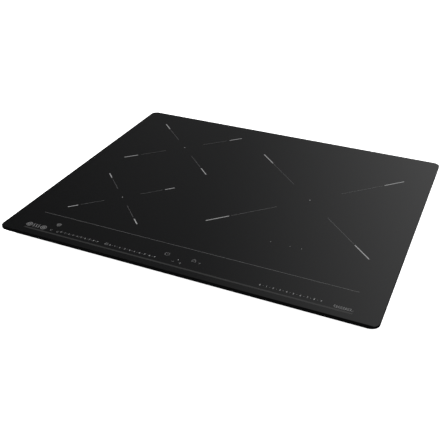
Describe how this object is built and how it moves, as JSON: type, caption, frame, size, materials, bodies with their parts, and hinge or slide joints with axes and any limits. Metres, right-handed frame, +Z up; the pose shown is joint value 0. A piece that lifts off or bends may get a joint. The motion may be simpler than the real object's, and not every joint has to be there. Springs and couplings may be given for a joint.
{
  "type": "electric induction cooktop",
  "caption": "Frameless black glass induction cooktop for a worktop cut-out: steel tray, sprung coils, fans, boards, side springs and a connection box with a hinged cover.",
  "frame": {"origin": "centre of the bounding box's base, under the middle of the tray", "axes": "+Z up through the glass, -Y to the edge with the touch controls, +X to the cook's right"},
  "size_m": [0.6, 0.51, 0.056],
  "materials": {
    "black_glass": "polished opaque black glass-ceramic",
    "print_grey": "fired-on grey print",
    "silicone": "matt silicone",
    "seal_foam": "closed-cell foam",
    "zinc_steel": "zinc-coated sheet",
    "screw_steel": "zinc-plated",
    "spring_steel": "bare spring steel",
    "black_plastic": "moulded",
    "grey_plastic": "moulded",
    "ivory_plastic": "moulded",
    "brass_screw": "bright",
    "grommet_rubber": "smooth",
    "circuit_board": "solder mask",
    "aluminium": "mill finish",
    "component_black": "moulded epoxy",
    "capacitor_blue": "moulded",
    "relay_blue": "moulded",
    "copper_wire": "enamelled copper litz",
    "ferrite": "sintered",
    "mica": "mica and felt",
    "ribbon_grey": "flexible"
  },
  "bodies": {
    "housing": {"glass_top": "black_glass", "zone_marks": "print_grey", "control_marks": "print_grey", "glass_adhesive": "silicone", "worktop_seal": "seal_foam", "glass_frame": "zinc_steel", "base_tray": "zinc_steel", "frame_screws": "screw_steel", "terminal_box": "black_plastic", "terminal_block": "ivory_plastic", "terminal_screws": "brass_screw", "cable_grommet": "grommet_rubber", "electronics_carrier": "black_plastic", "power_board_left": "circuit_board", "power_board_right": "circuit_board", "heat_sink_left": "aluminium", "heat_sink_right": "aluminium", "power_transistors": "component_black", "bridge_rectifiers": "component_black", "film_capacitors": "capacitor_blue", "line_chokes": "copper_wire", "filter_board": "circuit_board", "filter_choke": "copper_wire", "relays": "relay_blue", "mains_fuse": "ivory_plastic", "board_screws": "screw_steel", "fan_housing_left": "black_plastic", "fan_housing_right": "black_plastic", "coil_support_plate": "aluminium", "control_board": "circuit_board", "touch_springs": "brass_screw", "display_modules": "ivory_plastic", "control_board_holder": "black_plastic", "ribbon_cable": "ribbon_grey", "right_coil_springs": "spring_steel", "rear_coil_springs": "spring_steel", "front_coil_springs": "spring_steel"},
    "terminal_cover": {"terminal_cover": "zinc_steel"},
    "fan_left": {"fan_impeller_left": "grey_plastic"},
    "fan_right": {"fan_impeller_right": "grey_plastic"},
    "side_spring_front_left": {"side_spring_front_left": "spring_steel"},
    "side_spring_front_right": {"side_spring_front_right": "spring_steel"},
    "side_spring_rear_left": {"side_spring_rear_left": "spring_steel"},
    "side_spring_rear_right": {"side_spring_rear_right": "spring_steel"},
    "right_coil": {"right_coil_base": "black_plastic", "right_coil_ferrites": "ferrite", "right_coil_winding": "copper_wire", "right_coil_insulation": "mica", "right_coil_sensor": "ivory_plastic"},
    "rear_coil": {"rear_coil_base": "black_plastic", "rear_coil_ferrites": "ferrite", "rear_coil_winding": "copper_wire", "rear_coil_insulation": "mica", "rear_coil_sensor": "ivory_plastic"},
    "front_coil": {"front_coil_base": "black_plastic", "front_coil_ferrites": "ferrite", "front_coil_winding": "copper_wire", "front_coil_insulation": "mica", "front_coil_sensor": "ivory_plastic"}
  },
  "joints": [
    {"name": "terminal_cover_hinge", "type": "hinge", "parent": "housing", "child": "terminal_cover", "pos_m": [0.19, 0.2424, 0.044], "axis": [1, 0, 0], "range_deg": [0, 85]},
    {"name": "fan_left_spin", "type": "hinge", "parent": "housing", "child": "fan_left", "pos_m": [-0.07, 0.13, 0.015], "axis": [0, 0, 1], "continuous": true},
    {"name": "fan_right_spin", "type": "hinge", "parent": "housing", "child": "fan_right", "pos_m": [0.07, 0.13, 0.015], "axis": [0, 0, 1], "continuous": true},
    {"name": "side_spring_front_left_flex", "type": "hinge", "parent": "housing", "child": "side_spring_front_left", "pos_m": [-0.2767, -0.15, 0.011], "axis": [0, 1, 0], "range_deg": [0, 8], "stiffness_Nm_per_rad": 4, "springref_deg": -1.15},
    {"name": "side_spring_front_right_flex", "type": "hinge", "parent": "housing", "child": "side_spring_front_right", "pos_m": [0.2767, -0.15, 0.011], "axis": [0, -1, 0], "range_deg": [0, 8], "stiffness_Nm_per_rad": 4, "springref_deg": -1.15},
    {"name": "side_spring_rear_left_flex", "type": "hinge", "parent": "housing", "child": "side_spring_rear_left", "pos_m": [-0.2767, 0.15, 0.011], "axis": [0, 1, 0], "range_deg": [0, 8], "stiffness_Nm_per_rad": 4, "springref_deg": -1.15},
    {"name": "side_spring_rear_right_flex", "type": "hinge", "parent": "housing", "child": "side_spring_rear_right", "pos_m": [0.2767, 0.15, 0.011], "axis": [0, -1, 0], "range_deg": [0, 8], "stiffness_Nm_per_rad": 4, "springref_deg": -1.15},
    {"name": "right_coil_float", "type": "slide", "parent": "housing", "child": "right_coil", "axis": [0, 0, 1], "range_m": [-0.0025, 0], "stiffness_N_per_m": 9000, "springref_m": 0.006, "deforming": ["right_coil_springs"]},
    {"name": "rear_coil_float", "type": "slide", "parent": "housing", "child": "rear_coil", "axis": [0, 0, 1], "range_m": [-0.0025, 0], "stiffness_N_per_m": 6000, "springref_m": 0.006, "deforming": ["rear_coil_springs"]},
    {"name": "front_coil_float", "type": "slide", "parent": "housing", "child": "front_coil", "axis": [0, 0, 1], "range_m": [-0.0025, 0], "stiffness_N_per_m": 5000, "springref_m": 0.006, "deforming": ["front_coil_springs"]}
  ]
}
